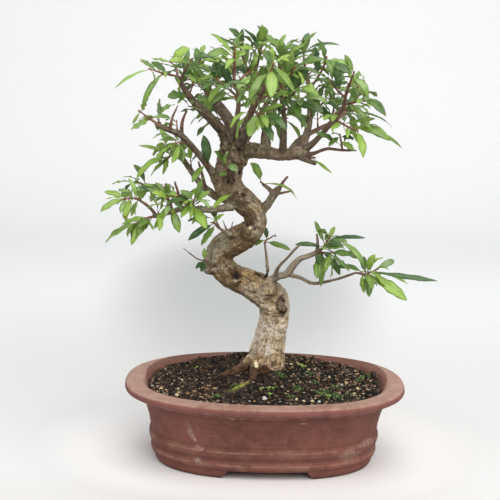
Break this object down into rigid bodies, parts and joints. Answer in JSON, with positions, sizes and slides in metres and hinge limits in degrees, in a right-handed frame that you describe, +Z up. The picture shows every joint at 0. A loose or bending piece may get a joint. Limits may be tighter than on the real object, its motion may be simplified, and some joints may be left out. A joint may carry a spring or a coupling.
{
  "type": "pomegranate bonsai",
  "caption": "Small pomegranate tree with a trunk in two bends, a round leafy crown and a low branch on each side, growing in an oval unglazed pot.",
  "frame": {"origin": "centre of the plant and pot seen from above, on the surface that the pot stands on", "axes": "+Z up, +X along the pot's length to the right of the front, +Y to the back"},
  "size_m": [0.2332, 0.1796, 0.31],
  "materials": {
    "stoneware": "matte",
    "soil": "matte",
    "net": "matte",
    "bark": "matte",
    "leaf_old": "satin",
    "leaf_fresh": "satin",
    "leaf_young": "satin"
  },
  "bodies": {
    "root": {"pot": "stoneware", "soil": "soil", "drain_net_left": "net", "drain_net_right": "net", "trunk": "bark", "spray_crown_left_tip": "leaf_fresh", "spray_crown_left_top": "leaf_young", "spray_crown_left_front": "leaf_young", "spray_crown_left_single": "leaf_old", "spray_left_back_tip": "leaf_fresh", "spray_left_back_mid": "leaf_old", "spray_left_back_far": "leaf_old", "spray_leader_front_tip": "leaf_young", "spray_leader_front_left": "leaf_fresh", "spray_leader_front_right": "leaf_fresh", "spray_leader_back_tip": "leaf_fresh", "spray_leader_back_left": "leaf_old", "spray_leader_back_rear": "leaf_old", "spray_front_top": "leaf_young", "spray_front_mid": "leaf_fresh", "spray_front_low": "leaf_young", "spray_middle_front_tip": "leaf_fresh", "spray_middle_front_red": "leaf_fresh", "spray_middle_front_big": "leaf_old", "spray_middle_front_low": "leaf_old", "spray_right_leader_tip": "leaf_fresh", "spray_right_leader_outer": "leaf_fresh", "spray_right_leader_low": "leaf_old", "spray_right_outer_tip": "leaf_fresh", "spray_right_outer_inner": "leaf_old", "spray_right_outer_reach": "leaf_fresh", "spray_right_outer_back": "leaf_fresh", "spray_right_outer_low": "leaf_young", "spray_right_low_tip": "leaf_old", "spray_right_back_tip": "leaf_old", "spray_right_back_mid": "leaf_old", "spray_middle_back_tip": "leaf_old", "spray_back_left_tip": "leaf_old", "spray_back_left_low": "leaf_old", "spray_back_right_tip": "leaf_old", "spray_back_right_low": "leaf_old", "spray_right_stub_leaf": "leaf_old", "spray_trunk_front_leaves": "leaf_fresh", "spray_trunk_front_blade": "leaf_fresh", "spray_shoulder_tip": "leaf_young", "spray_shoulder_dark": "leaf_old", "spray_shoulder_blade": "leaf_old", "spray_back_shoulder_tip": "leaf_young", "spray_pad_outer": "leaf_young", "spray_pad_end": "leaf_young", "spray_pad_front": "leaf_young", "spray_pad_middle": "leaf_young", "spray_pad_back": "leaf_fresh", "spray_pad_underside": "leaf_old", "spray_left_whip_leaves": "leaf_old", "spray_snag_leaves": "leaf_fresh", "spray_low_right_top": "leaf_old", "spray_low_right_mid": "leaf_fresh", "spray_low_right_end": "leaf_young", "spray_low_right_riser_leaves": "leaf_old"}
  },
  "joints": []
}
